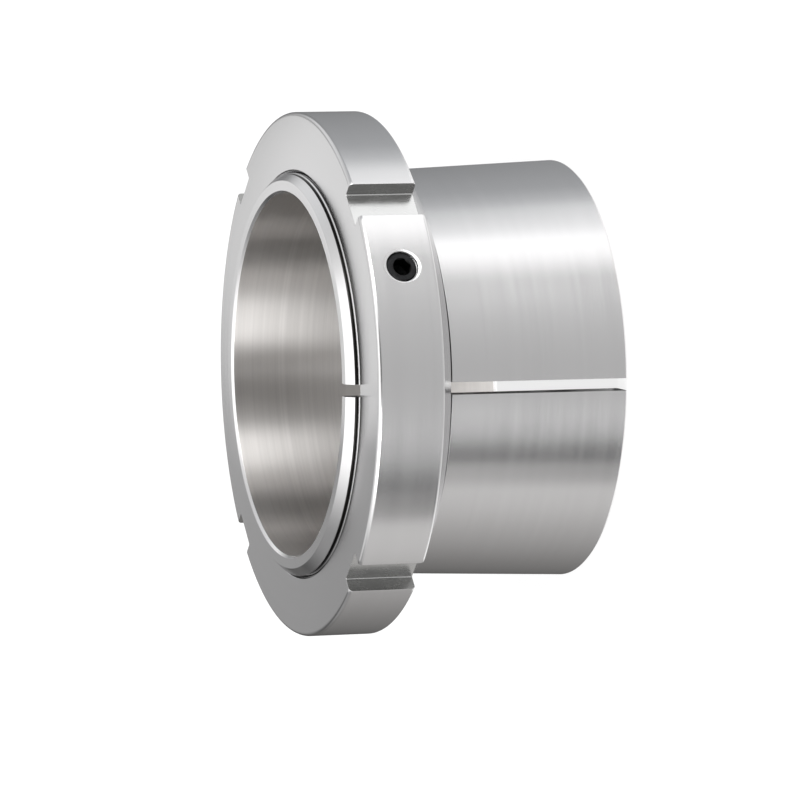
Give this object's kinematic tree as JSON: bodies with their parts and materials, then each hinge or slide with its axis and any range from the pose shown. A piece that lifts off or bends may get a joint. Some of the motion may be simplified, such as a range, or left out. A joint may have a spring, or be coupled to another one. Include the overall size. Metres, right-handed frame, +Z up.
{
  "type": "bearing adapter sleeve",
  "caption": "Slotted steel sleeve, tapered outside, with a screwed-on notched lock nut that clamps a tapered-bore bearing on a plain shaft.",
  "frame": {"origin": "centre of the sleeve's big end face, on which the part stands", "axes": "+Z up the common axis from the big end towards the lock nut, -Y through the middle of the sleeve's slot"},
  "size_m": [0.13, 0.13, 0.071],
  "materials": {
    "sleeve_steel": "fine turned bright steel",
    "nut_steel": "fine turned bright steel",
    "black_oxide_steel": "black oxide",
    "insert_brass": "plain turned"
  },
  "bodies": {
    "sleeve": {"sleeve": "sleeve_steel"},
    "nut": {"lock_nut": "nut_steel"},
    "insert": {"locking_insert": "insert_brass"},
    "screw": {"locking_screw": "black_oxide_steel"}
  },
  "joints": [
    {"name": "nut_turn", "type": "hinge", "parent": "sleeve", "child": "nut", "pos_m": [0, 0, 0.06], "axis": [0, 0, 1], "continuous": true},
    {"name": "insert_slide", "type": "slide", "parent": "nut", "child": "insert", "axis": [0.4695, -0.8829, 0], "range_m": [-0.0002, 0.0008]},
    {"name": "screw_turn", "type": "hinge", "parent": "insert", "child": "screw", "pos_m": [0.02817, -0.05298, 0.0596], "axis": [0.4695, -0.8829, 0], "range_deg": [-57.6, 230.4]}
  ],
  "couplings": [
    {"joint": "screw_turn", "follows": "insert_slide", "rad_per_m": 5026.5}
  ]
}
